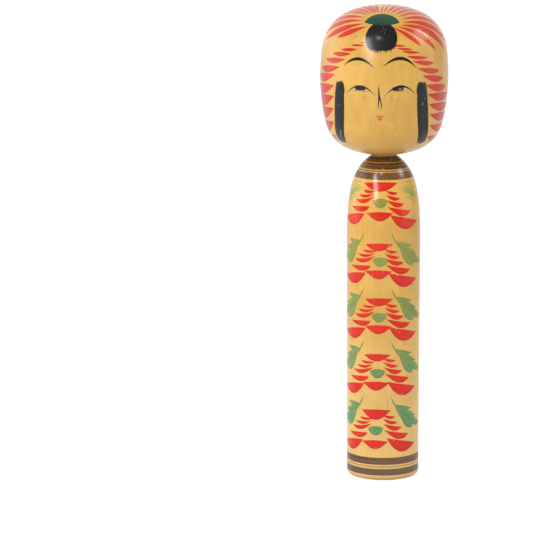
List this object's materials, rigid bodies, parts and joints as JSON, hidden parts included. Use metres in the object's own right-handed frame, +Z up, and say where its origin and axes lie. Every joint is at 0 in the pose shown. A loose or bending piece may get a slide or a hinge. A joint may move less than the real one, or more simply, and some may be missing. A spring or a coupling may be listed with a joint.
{
  "type": "kokeshi doll",
  "caption": "Tall turned wooden doll: a straight round-shouldered body and a large barrel-shaped head that plugs into it and turns, with painted face, hair ornament, bands and flowers.",
  "frame": {"origin": "centre of the flat base the doll stands on", "axes": "+Z up along the turning axis, -Y the way the face looks, +X to the doll's left"},
  "size_m": [0.0812, 0.0812, 0.303],
  "materials": {
    "body_wood": "aged pale wood, waxed to a soft gloss, painted with red and green flowers and dark bands",
    "head_wood": "aged pale wood, waxed to a soft gloss, painted with face, black hair and red hair ornament"
  },
  "bodies": {
    "standing_body": {"body": "body_wood"},
    "turning_head": {"head": "head_wood"}
  },
  "joints": [
    {"name": "head_turn", "type": "hinge", "parent": "standing_body", "child": "turning_head", "pos_m": [0, 0, 0.207], "axis": [0, 0, 1], "continuous": true}
  ]
}
